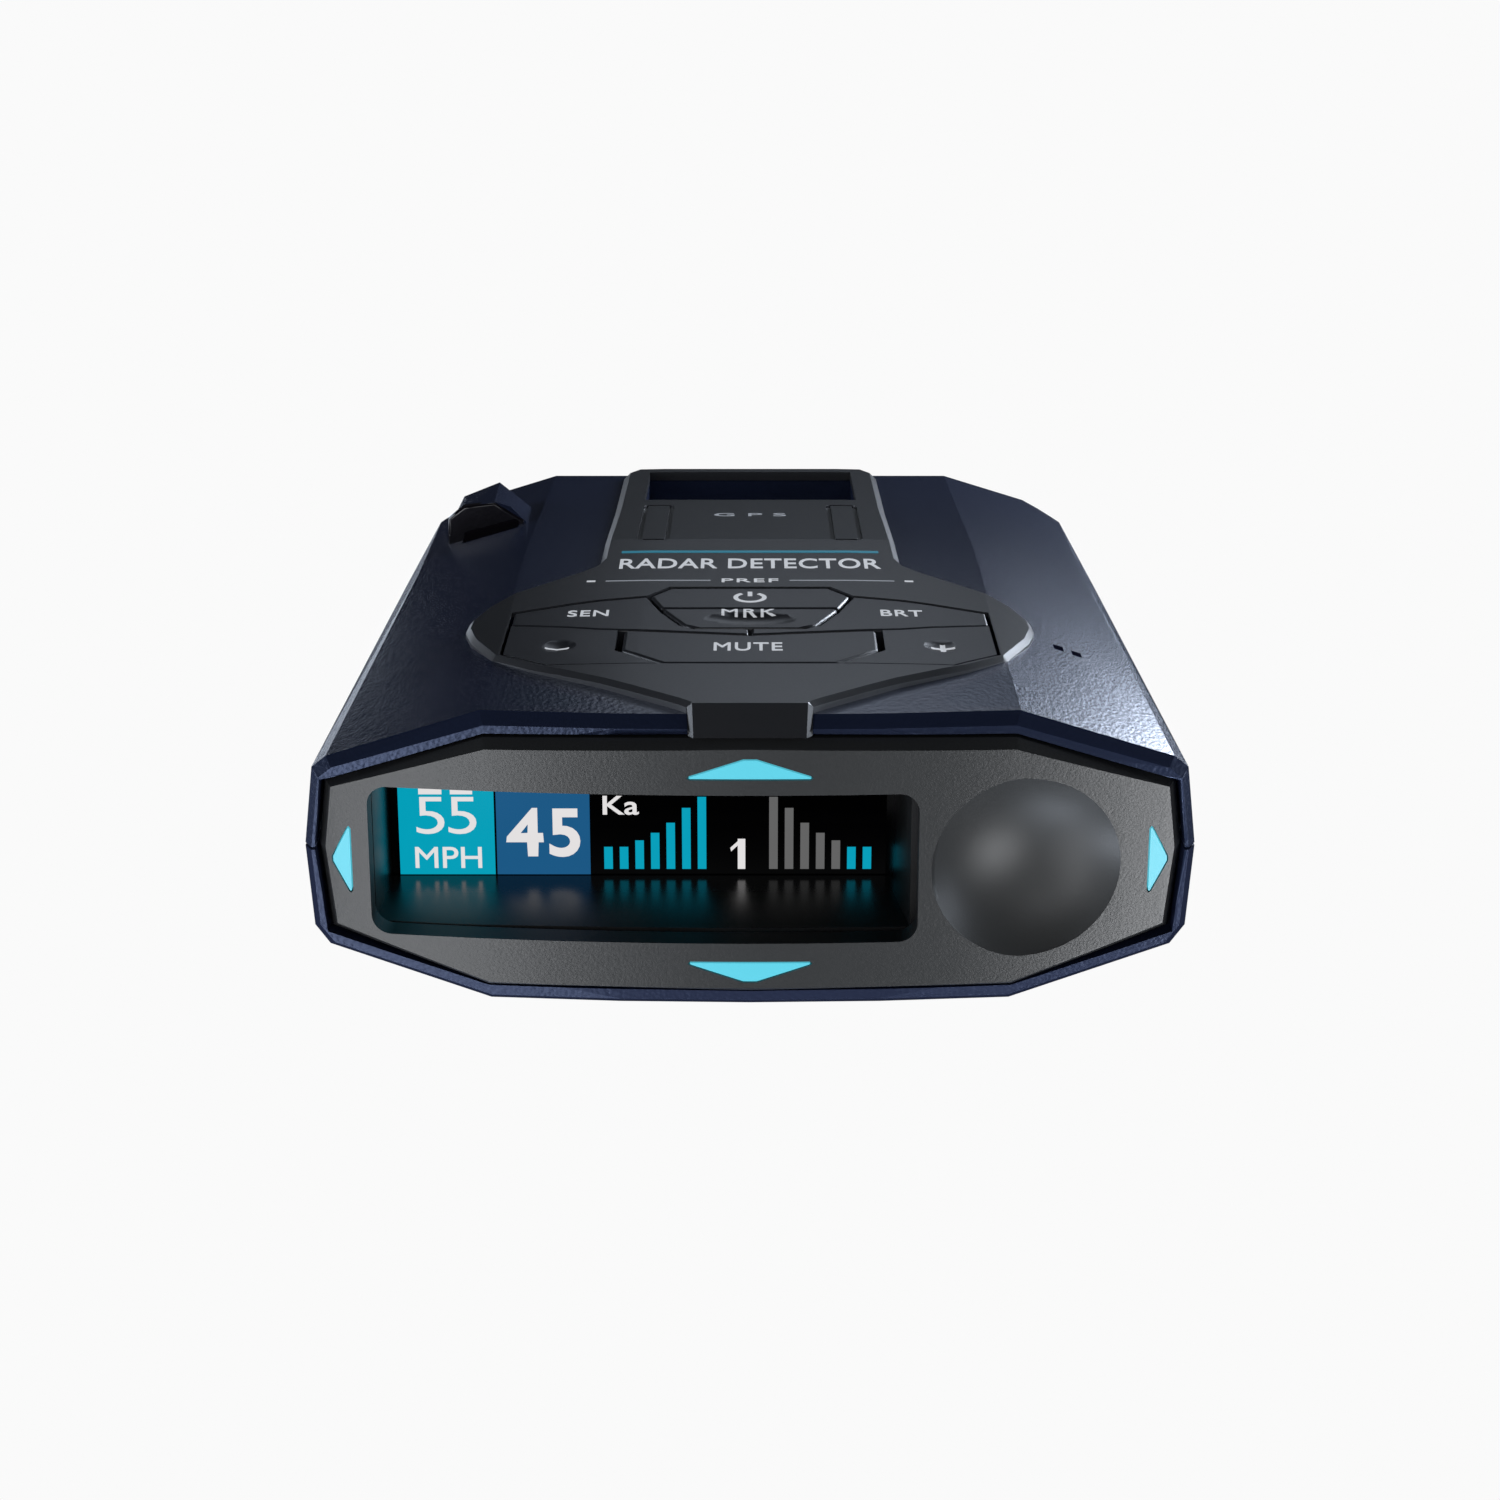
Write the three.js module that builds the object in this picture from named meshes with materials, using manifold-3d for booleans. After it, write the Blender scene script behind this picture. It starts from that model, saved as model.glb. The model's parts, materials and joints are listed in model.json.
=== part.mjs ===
// Windscreen radar detector: a faceted two-shell case with a display tunnel in
// its front bezel, seven keys on top, a magnetic mount pocket behind them and
// the antennas, boards, speaker and laser sensors inside.
//
// Millimetres, +Z up. The driver looks along +Y at the bezel. Every y below is
// counted back from the front of the bezel; the outer group centres the length.
import * as THREE from "three";
import { ConvexGeometry } from "three/addons/geometries/ConvexGeometry.js";
import { mergeVertices } from "three/addons/utils/BufferGeometryUtils.js";
import Module from "manifold-3d";

const wasm = await Module();
wasm.setup();

// ---------------------------------------------------------------- driving dimensions
const length = 135.6;
const partingZ = 15.9;          // the two shells meet at the widest line
const wall = 1.8;
const gap = 0.3;                // between parts that meet
const lightGap = 0.15;          // round the arrow lights
const bow = 0.00204;            // front faces curve back by bow * x * x
const topHalf = 27.4;           // half width of the flat top
const kinkY = 70;               // the top rises to here and then falls
const rearY = 125;              // rear edge of the top, where the nose begins
const bezelDepth = 3.2;
const bezelChamfer = 1.6;       // how far back the bezel's edge slopes
const underZ = -1;              // underside; the outer group lifts it to zero
const bowEnd = 30;              // the case's front edge runs straight across beyond here
const rebateDepth = 9;          // how far the bezel's opening reaches into the case

// Half outlines of the case's front, from the top edge round to the bottom edge, [x, z].
const lipHalf = [[26.9, 29.2], [42.5, 24.6], [43.9, 23.5], [44.9, partingZ], [44.3, 7.5],
  [42.9, 5.6], [26.8, -0.1]];
const rimHalf = [[topHalf, 30.35], [43.2, 25.4], [44.7, 24.2], [45.7, partingZ], [45.1, 7.0],
  [43.6, 4.9], [27.0, underZ]];
const lipY = 2.0;
const rimY = 3.5;

// Corners of the case behind its front, [x, y, z].
const kinkCorners = [[topHalf, kinkY, 31.1], [41.3, 75, 26.7], [43.15, 77, 24.5],
  [44.75, 77, partingZ], [44.1, 77, 7.0], [42.6, 77, 4.9]];
const rearCorners = [[topHalf, rearY, 27.9], [38.5, 124.2, 24.6], [40.6, 122.6, 23.7],
  [42.2, 119, 23.3], [42.7, 114, 23.8], [44.0, 114, partingZ], [42.6, 123, partingZ],
  [43.4, 113, 7.0], [41.8, 121.5, 7.0], [41.9, 112, 4.9], [27.0, 116, underZ]];
const noseCorners = [[26, length, 20.5], [33.5, 132.5, 20.5], [39.5, 129.5, partingZ],
  [34, 134, partingZ], [27, length, partingZ], [38.3, 128, 7.0], [33, 132.8, 7.0],
  [26, length, 7.2], [24, 134, 3.6]];

// Bezel outline, half, from the top centre to the bottom centre, [x, z].
const bezelHalf = [[0, 28.5], [26.9, 28.1], [43.4, 23.0], [44.2, 16.15], [43.3, 7.0],
  [27, 1.35], [0, 1.2]];
const bezelFaceHalf = [[0, 27.75], [26.7, 27.3], [42.6, 22.6], [43.4, 16.1], [42.5, 7.8],
  [26.8, 2.15], [0, 2.05]];

// Display window, tunnel and thumb dish in the bezel.
const frontWindow = { x0: -38.9, x1: 17.1, z0: 6.95, z1: 22.9, r: 2 };
const tunnel = { backY: 19.7, backX0: -38.8, backX1: 14.6, z0: 7.0, z1: 22.9, wall: 1.1 };
const dish = { x: 29.3, z: 14.6, half: 10.2, squash: 0.94, depth: 4, wall: 1.2 };

// Arrow lights: upward arrow [x, z] corners, and the left arrow's corners.
const arrowUp = [[-6.1, 24.5], [6.1, 24.5], [6.4, 24.72], [6.1, 24.95], [0.7, 26.74], [-0.7, 26.74],
  [-6.1, 24.95], [-6.4, 24.72]];
const arrowDown = [[-6.1, 4.96], [-6.4, 4.74], [-6.1, 4.5], [-0.7, 2.68], [0.7, 2.68], [6.1, 4.5],
  [6.4, 4.74], [6.1, 4.96]];
const arrowLeft = [[-40.7, 11.5], [-40.7, 18.2], [-40.9, 18.5], [-41.15, 18.3], [-42.8, 15.15],
  [-42.8, 14.6], [-41.15, 11.4], [-40.9, 11.24]];

// Keypad: trim outline on the right side from the front tongue to the rear rim, [x, y].
const trimHalf = [[6.2, 0.9], [6.4, 3.9], [7.5, 5.1], [15.5, 12.3], [23.2, 17.9], [27.6, 22.2],
  [30.6, 30.5], [31.6, 35.2], [31.5, 38.5], [30.0, 43.4], [27.6, 47.6], [21.7, 54.3],
  [18.9, 58.8], [18.1, 62], [17.6, 93], [17.6, 121], [16.0, 124.6]];
const keySeam = 0.2;            // half the gap between neighbouring keys
const keyBottomZ = 28.4;
const dip = { depth: 0.7, keyTopZ: 31.62 };
const keyZone = [[26.8, 22.4], [26.8, 39.1], [17.2, 43.2], [11.8, 44.6], [9.3, 48.5],
  [-9.3, 48.5], [-11.8, 44.6], [-17.2, 43.2], [-26.8, 39.1], [-26.8, 22.4], [-23, 19],
  [-21.6, 17.6], [21.6, 17.6], [23, 19]];

// Mount pocket behind the keys, and the sensor pod on the left shoulder.
const pocket = { half: 14, y0: 98.7, y1: 121, floorZ: 23.5 };
const podFront = [[-38.3, 24.4], [-38.1, 30.6], [-36.4, 31.6], [-33, 32.2], [-31, 31.5],
  [-29.0, 29.4], [-28.8, 27]];

// ---------------------------------------------------------------- materials
function finish(color, roughness, metalness = 0) {
  return new THREE.MeshStandardMaterial({ color, roughness, metalness });
}
const navyCase = finish(0x20243a, 0.45);
const navyUnder = finish(0x1a1d2e, 0.5);
const charcoalBezel = finish(0x3c3c3d, 0.55);
const charcoalTrim = finish(0x2c2d31, 0.4);
const keyPlastic = finish(0x303136, 0.45);
const blackGloss = finish(0x050506, 0.08);
const tealLight = finish(0x33c7d6, 0.35);
const clearGlass = finish(0x0a0c10, 0.05);
const greenBoard = finish(0x17402a, 0.5);
const steel = finish(0xa9adb2, 0.3, 1);
const castMetal = finish(0x8f9296, 0.4, 1);
const ceramic = finish(0xb9a98c, 0.6);
const blackPlastic = finish(0x17181a, 0.5);
const siliconeGrey = finish(0x4a4c50, 0.7);
const paperGrey = finish(0x9b9da0, 0.7);
const ledWhite = finish(0xe8e6dc, 0.4);

// ---------------------------------------------------------------- solids
function toSolid(geometry) {
  const bare = geometry.index ? geometry.toNonIndexed() : geometry.clone();
  bare.deleteAttribute("normal");
  bare.deleteAttribute("uv");
  const merged = mergeVertices(bare, 1e-4);
  return new wasm.Manifold(new wasm.Mesh({
    numProp: 3,
    vertProperties: new Float32Array(merged.attributes.position.array),
    triVerts: new Uint32Array(merged.index.array),
  }));
}

function toGeometry(solid) {
  const { vertProperties, triVerts } = solid.getMesh();
  const geometry = new THREE.BufferGeometry();
  geometry.setAttribute("position", new THREE.BufferAttribute(vertProperties, 3));
  geometry.setIndex(new THREE.BufferAttribute(triVerts, 1));
  geometry.computeVertexNormals();
  return geometry;
}

function join(first, ...others) {
  return others.reduce((sum, next) => sum.add(next), first);
}

function cut(blank, ...tools) {
  return tools.reduce((rest, tool) => rest.subtract(tool), blank);
}

function box(x0, x1, y0, y1, z0, z1) {
  const geometry = new THREE.BoxGeometry(x1 - x0, y1 - y0, z1 - z0);
  geometry.translate((x0 + x1) / 2, (y0 + y1) / 2, (z0 + z1) / 2);
  return toSolid(geometry);
}

function hull(corners) {
  return toSolid(new ConvexGeometry(corners.map(([x, y, z]) => new THREE.Vector3(x, y, z))));
}

function outline(points) {
  return new THREE.Shape(points.map(([a, b]) => new THREE.Vector2(a, b)));
}

// Prisms along Z, Y and X from an outline in the plane across them.
function prismZ(shape, z0, z1, curveSegments = 4) {
  const geometry = new THREE.ExtrudeGeometry(shape, { depth: z1 - z0, bevelEnabled: false, curveSegments });
  geometry.translate(0, 0, z0);
  return toSolid(geometry);
}

function prismY(shape, y0, y1, curveSegments = 4) {
  const geometry = new THREE.ExtrudeGeometry(shape, { depth: y1 - y0, bevelEnabled: false, curveSegments });
  geometry.rotateX(Math.PI / 2);
  geometry.translate(0, y1, 0);
  return toSolid(geometry);
}

function prismX(shape, x0, x1) {
  const geometry = new THREE.ExtrudeGeometry(shape, { depth: x1 - x0, bevelEnabled: false });
  geometry.applyMatrix4(new THREE.Matrix4().set(0, 0, 1, x0, 1, 0, 0, 0, 0, 1, 0, 0, 0, 0, 0, 1));
  return toSolid(geometry);
}

function rod(radius, from, to, sides = 16) {
  const start = new THREE.Vector3(...from);
  const along = new THREE.Vector3(...to).sub(start);
  const geometry = new THREE.CylinderGeometry(radius, radius, along.length(), sides);
  geometry.translate(0, along.length() / 2, 0);
  const turn = new THREE.Quaternion().setFromUnitVectors(new THREE.Vector3(0, 1, 0), along.normalize());
  geometry.applyQuaternion(turn);
  geometry.translate(start.x, start.y, start.z);
  return toSolid(geometry);
}

function roundRect(x0, x1, y0, y1, r) {
  const shape = new THREE.Shape();
  shape.moveTo(x0 + r, y0);
  shape.lineTo(x1 - r, y0);
  shape.absarc(x1 - r, y0 + r, r, -Math.PI / 2, 0);
  shape.lineTo(x1, y1 - r);
  shape.absarc(x1 - r, y1 - r, r, 0, Math.PI / 2);
  shape.lineTo(x0 + r, y1);
  shape.absarc(x0 + r, y1 - r, r, Math.PI / 2, Math.PI);
  shape.lineTo(x0, y0 + r);
  shape.absarc(x0 + r, y0 + r, r, Math.PI, 1.5 * Math.PI);
  return shape;
}

// Both halves of a symmetric outline given from top to bottom on its right side.
function bothSides(half) {
  const left = half.map(([x, z]) => [-x, z]).reverse();
  return [...half, ...left].filter(([x, z], i, all) => {
    const [px, pz] = all[(i + all.length - 1) % all.length];
    return Math.hypot(x - px, z - pz) > 1e-6;
  });
}

// An outline moved outwards by d, or inwards where d is negative.
function offset(points, d) {
  const area = points.reduce((sum, [x, y], i) => {
    const [nx, ny] = points[(i + 1) % points.length];
    return sum + x * ny - nx * y;
  }, 0);
  const side = Math.sign(area) * d;
  return points.map(([x, y], i) => {
    const [px, py] = points[(i + points.length - 1) % points.length];
    const [nx, ny] = points[(i + 1) % points.length];
    const before = new THREE.Vector2(x - px, y - py).normalize();
    const after = new THREE.Vector2(nx - x, ny - y).normalize();
    const middle = before.clone().add(after).normalize();
    const reach = side / Math.max(0.3, middle.dot(before));
    return [x + middle.y * reach, y - middle.x * reach];
  });
}

function bowAt(x) {
  return bow * x * x;
}

// Everything behind a plane that is bowed back like the case's front.
function behindBow(y0, y1) {
  const reach = 60;
  const shape = new THREE.Shape();
  shape.moveTo(-reach, y0 + bowAt(reach));
  shape.quadraticCurveTo(0, y0 - bowAt(reach), reach, y0 + bowAt(reach));
  shape.lineTo(reach, y1);
  shape.lineTo(-reach, y1);
  return prismZ(shape, -10, 50, 18);
}

// ---------------------------------------------------------------- case envelopes
function mirrored(corners) {
  return [...corners, ...corners.map(([x, y, z]) => [-x, y, z])];
}

function bowedRing(half, y) {
  const [topX, topZ] = half[0];
  const [bottomX, bottomZ] = half[half.length - 1];
  const edges = [0, 0.5].flatMap((share) => [[share * topX, topZ], [share * bottomX, bottomZ]]);
  return mirrored([...half, ...edges].map(([x, z]) => [x, y + bowAt(Math.min(x, bowEnd)), z]));
}

const caseCorners = [
  ...bowedRing(lipHalf, lipY),
  ...bowedRing(rimHalf, rimY),
  ...mirrored([...kinkCorners, ...rearCorners, ...noseCorners]),
];
const caseOuter = hull(caseCorners);

// The case's hull drawn in towards its middle by the same distance on every side.
function caseRoom(inset) {
  const [halfX, halfY, halfZ] = [45.7, length / 2, partingZ];
  return hull(caseCorners.map(([x, y, z]) => [
    x * (1 - inset / halfX),
    halfY + (y - halfY) * (1 - inset / halfY),
    halfZ + (z - halfZ) * (1 - inset / halfZ),
  ]));
}

const caseInner = caseRoom(wall);
const partRoom = caseRoom(wall + gap + 0.1);

const bezelOutline = bothSides(bezelHalf);
const bezelFace = bothSides(bezelFaceHalf);
const bezelOpening = prismY(outline(offset(bezelOutline, gap)), -5, rebateDepth);

// ---------------------------------------------------------------- sensor pod
const podHoodY = 90.2;
const podLensY = 91.6;
const podOuter = hull([
  ...podFront.map(([x, z]) => [x, podHoodY + (32.2 - z) * 0.12, z]),
  [-38.1, 101.5, 30.3], [-33.4, 102.5, 32.0], [-29.2, 101, 29],
  [-37.4, 107, 24.3], [-33.5, 107.5, 27.2], [-29.6, 106.5, 27.0], [-38.4, 103, 23.8],
]);
const podInner = hull([
  [-37.0, 93.6, 23], [-37.0, 93.6, 29.4], [-33.2, 93.6, 30.8], [-30.2, 93.6, 28.3], [-30.0, 93.6, 23],
  [-36.8, 101, 23], [-36.8, 100.6, 28.9], [-33.3, 101.2, 30.4], [-30.4, 100, 27.8], [-30.4, 101, 23],
]);
const podLensOutline = [[-37.3, 25.3], [-37.2, 30.1], [-36.0, 30.8], [-33.1, 31.3], [-31.4, 30.7],
  [-29.8, 29.0], [-29.7, 27.5]];

function makePodLens() {
  return prismY(outline(offset(podLensOutline, -gap)), podLensY, podLensY + 1.4);
}

// ---------------------------------------------------------------- shells
const postSpots = [[-36, 28.6], [36, 28.6], [-36, 106], [36, 106]];
const noseWindow = { half: 20, z0: 7.5, z1: 19 };
const jackZ = 11.9;
const jackY = 88;
const usbY = 60;
const earphoneY = 76;
const speaker = { y: 40, grilleR: 12, slotHalf: 0.6, slotStep: 3 };
const label = { half: 22, y0: 66, y1: 92, recess: 0.6 };
const boardZ = 3.5;
const boardTopZ = 5.1;
const boardScrewSpots = [[-26.8, 57.4], [26.8, 95.4]];

// Everything above, or below, the line where the shells part.
function above(z) {
  return box(-60, 60, -5, length + 5, z, 50);
}

function below(z) {
  return box(-60, 60, -5, length + 5, -5, z);
}

const noseOpening = box(-noseWindow.half - gap, noseWindow.half + gap, 130, 140,
  noseWindow.z0 - gap, noseWindow.z1 + gap);

function makeTopCover() {
  const pocketWalls = box(-pocket.half - wall, pocket.half + wall, pocket.y0 - wall, pocket.y1 + wall,
    pocket.floorZ - wall, 28);
  const posts = postSpots.map(([x, y]) => rod(3.2, [x, y, partingZ], [x, y, 30]).intersect(caseOuter));
  const pilots = postSpots.map(([x, y]) => rod(1.6, [x, y, 10], [x, y, 23]));
  const shell = join(cut(caseOuter, caseInner, bezelOpening), pocketWalls.intersect(caseOuter), podOuter);
  return cut(
    join(shell, ...posts),
    podInner,
    ...pilots,
    below(partingZ + gap / 2),
    box(-pocket.half, pocket.half, pocket.y0, pocket.y1, pocket.floorZ, 40),
    prismZ(outline(offset(keyZone, 0.2)), 20, 40),
    prismY(outline(podLensOutline), podHoodY - 2, podLensY + 4),
    noseOpening,
    box(33.7, 34.8, 33.3, 35.1, 20, 32),
    box(35.7, 36.8, 33.0, 34.8, 20, 32),
  );
}

function makeBottomCover() {
  const posts = postSpots.map(([x, y]) => rod(4.2, [x, y, 2], [x, y, partingZ - 1]));
  const shell = join(cut(caseOuter, caseInner, bezelOpening),
    ...posts.map((post) => post.intersect(caseOuter)));
  const boardPosts = boardScrewSpots.map(([x, y]) => rod(2.6, [x, y, underZ + 1], [x, y, boardZ - gap], 12));
  const slots = [-3, -2, -1, 0, 1, 2, 3].map((step) => {
    const x = step * speaker.slotStep;
    const [half, reach] = [speaker.slotHalf, Math.sqrt(speaker.grilleR ** 2 - x * x)];
    return box(x - half, x + half, speaker.y - reach, speaker.y + reach, underZ - 1, 3);
  });
  return cut(
    join(shell, ...boardPosts),
    above(partingZ - gap / 2),
    ...postSpots.map(([x, y]) => rod(1.7, [x, y, underZ - 1], [x, y, 20])),
    ...postSpots.map(([x, y]) => rod(3.0, [x, y, underZ - 1], [x, y, 6.5])),
    ...boardScrewSpots.map(([x, y]) => rod(0.9, [x, y, 1.2], [x, y, 5], 10)),
    ...slots,
    box(-label.half, label.half, label.y0, label.y1, underZ - 1, underZ + label.recess),
    noseOpening,
    box(-60, -40, jackY - 5.2, jackY + 5.2, jackZ - 3.4, jackZ + 3.4),
    box(40, 60, usbY - 3.4, usbY + 3.4, jackZ - 2.0, jackZ + 2.0),
    rod(2.6, [38, earphoneY, jackZ], [60, earphoneY, jackZ]),
  );
}

// ---------------------------------------------------------------- bezel and its lights
function bowedPlate(frontRing, backRing, backY) {
  const ring = (points, y) => points.map(([x, z]) => [x, y + bowAt(x), z]);
  return cut(
    hull([...ring(frontRing, 0), ...ring(backRing, bezelChamfer), ...ring(backRing, backY + 2)]),
    behindBow(backY, 60),
  );
}

const bezelBlank = bowedPlate(bezelFace, bezelOutline, bezelDepth);

function dishBall(extra) {
  const radius = (dish.half ** 2 + dish.depth ** 2) / (2 * dish.depth);
  const geometry = new THREE.SphereGeometry(radius + extra, 40, 28);
  geometry.scale(1, 1, dish.squash);
  geometry.translate(dish.x, bowAt(dish.x) + dish.depth - radius, dish.z);
  return toSolid(geometry);
}

const arrows = {
  up: arrowUp,
  down: arrowDown,
  left: arrowLeft,
  right: arrowLeft.map(([x, z]) => [-x, z]).reverse(),
};

function makeBezel() {
  const dishBack = dishBall(dish.wall).intersect(box(10, 44, 2, 12, 0, 30));
  return cut(
    join(bezelBlank, dishBack),
    dishBall(0),
    prismY(roundRect(frontWindow.x0, frontWindow.x1, frontWindow.z0, frontWindow.z1, frontWindow.r), -5, 15),
    ...Object.values(arrows).map((points) => prismY(outline(points), -5, 15)),
  );
}

function makeArrowLight(points) {
  return prismY(outline(offset(points, -lightGap)), -5, 15).intersect(bezelBlank);
}

const arrowLedBoxes = {
  up: [-2, 2, 4.2, 6.2, 24.9, 26.2],
  down: [-2, 2, 4.2, 6.2, 2.9, 4.6],
  left: [-43.2, -41.0, 8.2, 10.2, 13.2, 16.4],
  right: [41.0, 43.2, 8.2, 10.2, 13.2, 16.4],
};

// ---------------------------------------------------------------- display
function makeHood() {
  const t = tunnel.wall;
  const section = (y, x0, x1, grow) => [
    [x0 - grow, y, tunnel.z0 - grow], [x1 + grow, y, tunnel.z0 - grow],
    [x0 - grow, y, tunnel.z1 + grow], [x1 + grow, y, tunnel.z1 + grow],
  ];
  const outer = hull([
    ...section(0, frontWindow.x0, frontWindow.x1, t),
    ...section(tunnel.backY, tunnel.backX0, tunnel.backX1, t),
  ]);
  const inner = hull([
    ...section(-1, frontWindow.x0, frontWindow.x1 + 0.1, 0),
    ...section(tunnel.backY + 1, tunnel.backX0, tunnel.backX1, 0),
  ]);
  return cut(outer, inner).intersect(behindBow(bezelDepth + gap, 60)).intersect(partRoom);
}

function makeDisplayBracket() {
  const plate = box(-39.8, 17.2, 22.5, 23.9, 5.6, 23.9);
  return cut(plate, box(-30, 6, 22, 25, 10, 20)).intersect(partRoom);
}

// ---------------------------------------------------------------- keypad
// The trim's top surface: almost level to the kink, then falling with the case,
// and crowned across so that its wings follow the shoulders, [x, drop].
const trimTop = [[-1, 31.48], [71, 31.95], [rearY, 29.1]];
const trimCrown = [[12, 0], [20, 0.15], [27, 0.5], [34, 1.7]];

function trimEnvelope(lift) {
  const roof = trimTop.flatMap(([y, z]) => trimCrown.map(([x, drop]) => [x, y, z + lift - drop]));
  return hull(mirrored([...roof, [34, -1, 20], [34, rearY, 20]]));
}

// The tongue of the trim slopes down over the case's front edge onto the bezel.
const tongueFace = [[-20, 10], [-20, 40], [3.8, 40], [3.8, 31.6], [1.0, 29.0], [1.0, 10]];

// Grooved frames either side of the lettering: a ring outline, sunk a little into the trim.
const groove = { x0: 9.9, x1: 13.9, y0: 70.5, y1: 94.8, width: 0.6, depth: 0.35 };

function grooveTool(side) {
  const [a, b] = [side * groove.x0, side * groove.x1];
  const [x0, x1] = [Math.min(a, b), Math.max(a, b)];
  const w = groove.width;
  const outer = prismZ(roundRect(x0, x1, groove.y0, groove.y1, w + 0.4), 20, 40);
  const island = prismZ(roundRect(x0 + w, x1 - w, groove.y0 + w, groove.y1 - w, 0.4), 20, 40);
  return cut(outer, island, trimEnvelope(-groove.depth));
}

function makeTrim() {
  const outlineBoth = bothSides([...trimHalf].reverse());
  const blank = prismZ(outline(outlineBoth), 10, 40).intersect(trimEnvelope(0));
  const lifted = hull(caseCorners.map(([x, y, z]) => [x, y - gap, z + gap]));
  return cut(
    blank,
    lifted,
    prismX(outline(tongueFace), -10, 10),
    box(-10, 10, -5, 12, 10, 29.0),
    prismZ(outline(keyZone), 20, 40),
    box(-pocket.half, pocket.half, pocket.y0, pocket.y1, 20, 40),
    grooveTool(1),
    grooveTool(-1),
  );
}

const seamOuter = [26.6, 33.9];
const seamMid = [16.5, 31.05];
const seamCentre = [0, 28.7];
const muteCorner = [14.3, 30.74];
const muteGap = 0.35;           // extra room at the sides of the mute key
const brightnessKey = [[11.6, 44.4], [10.14, 39.3], [9.8, 38.1], [7.5, 32.5], [6.0, 31.3],
  [0, 31.3], seamCentre, seamMid, seamOuter, [26.6, 38.95], [17.1, 43.0]];
const powerKey = [[-9.2, 48.3], [-11.6, 44.4], [-10.14, 39.3], [10.14, 39.3], [11.6, 44.4], [9.2, 48.3]];
const markKey = [[-10.14, 39.3], [-9.8, 38.1], [-7.5, 32.5], [-6.0, 31.3], [6.0, 31.3],
  [7.5, 32.5], [9.8, 38.1], [10.14, 39.3]];
const muteHalf = [seamCentre, [14.3 - muteGap, 30.7], [14.3 - muteGap, 22.9], [9.6 - muteGap, 17.8]];
const muteKey = bothSides(muteHalf).reverse();
const volumeUpKey = [muteCorner, [14.3, 22.9], [9.6, 17.8], [21.5, 17.8], [22.9, 19.2],
  [26.6, 22.6], seamOuter, seamMid];

function mirrorOutline(points) {
  return points.map(([x, y]) => [-x, y]).reverse();
}

function makeKey(points, thumbDip) {
  const key = prismZ(outline(offset(points, -keySeam)), keyBottomZ, 40).intersect(trimEnvelope(-0.05));
  return thumbDip ? cut(key, thumbDip) : key;
}

// Shallow thumb dips in the key tops, cut by a ball that is wider than the dip it leaves.
function ovalDip(x, y, halfX, halfY) {
  const ballShare = 1.25;
  const geometry = new THREE.SphereGeometry(1, 16, 12);
  geometry.scale(halfX * ballShare, halfY * ballShare, dip.depth * 2.5);
  geometry.translate(x, y, dip.keyTopZ + dip.depth * 1.5);
  return toSolid(geometry);
}

function volumeDip(side) {
  return ovalDip(side * 20.8, 25, 2.3, 2.8);
}

// ---------------------------------------------------------------- inside
function horn(mouthY, throatY, mouth, throat) {
  const t = 1.0;
  const ring = (y, [x0, x1, z0, z1], inset) => [
    [x0 + inset, y, z0 + inset], [x1 - inset, y, z0 + inset],
    [x0 + inset, y, z1 - inset], [x1 - inset, y, z1 - inset],
  ];
  const towards = Math.sign(mouthY - throatY);
  return cut(
    hull([...ring(mouthY, mouth, 0), ...ring(throatY, throat, 0)]),
    hull([...ring(mouthY + towards, mouth, t), ...ring(throatY + 3 * towards, throat, t)]),
  );
}

function screw(x, y, headZ0, headZ1, headR, shankR, tipZ, headBelow) {
  const head = rod(headR, [x, y, headZ0], [x, y, headZ1], 14);
  const shank = rod(shankR, [x, y, (headZ0 + headZ1) / 2], [x, y, tipZ], 10);
  const slotZ = headBelow ? headZ0 : headZ1;
  const recess = join(
    box(x - headR * 0.6, x + headR * 0.6, y - 0.3, y + 0.3, slotZ - 0.5, slotZ + 0.5),
    box(x - 0.3, x + 0.3, y - headR * 0.6, y + headR * 0.6, slotZ - 0.5, slotZ + 0.5),
  );
  return cut(join(head, shank), recess);
}

function makeMainBoard() {
  return cut(box(-29.5, 29.5, 55, 98, boardZ, boardTopZ),
    ...boardScrewSpots.map(([x, y]) => rod(1.3, [x, y, 1], [x, y, 6], 10)));
}

function shieldCan(x0, x1, y0, y1, height) {
  const z0 = boardTopZ + gap;
  const holes = [0.25, 0.5, 0.75].flatMap((u) => [0.3, 0.7].map((v) => {
    const x = x0 + u * (x1 - x0);
    const y = y0 + v * (y1 - y0);
    return rod(0.7, [x, y, z0 + 1], [x, y, z0 + height + 1], 8);
  }));
  return cut(box(x0, x1, y0, y1, z0, z0 + height),
    box(x0 + 0.5, x1 - 0.5, y0 + 0.5, y1 - 0.5, z0 - 1, z0 + height - 0.5), ...holes);
}

function makeSpeaker() {
  const profile = [[0, 8.3], [7, 8.3], [7, 5.2], [13.4, 3.9], [14, 3.9], [14, 2.2], [12.6, 2.2],
    [9.5, 3.4], [4, 4.2], [0, 3.2]];
  const geometry = new THREE.LatheGeometry(profile.map(([r, z]) => new THREE.Vector2(r, z)).reverse(), 28);
  geometry.rotateX(Math.PI / 2);
  geometry.translate(0, speaker.y, 0);
  return toSolid(geometry);
}

function makePowerJack() {
  const body = box(-42.6, -31, jackY - 6.3, jackY + 6.3, jackZ - 3.9, jackZ + 3.7).intersect(partRoom);
  return cut(body,
    box(-50, -33, jackY - 4.9, jackY + 4.9, jackZ - 3.1, jackZ + 2.3),
    box(-50, -33, jackY - 2, jackY + 2, jackZ + 2, jackZ + 3.1));
}

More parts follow.
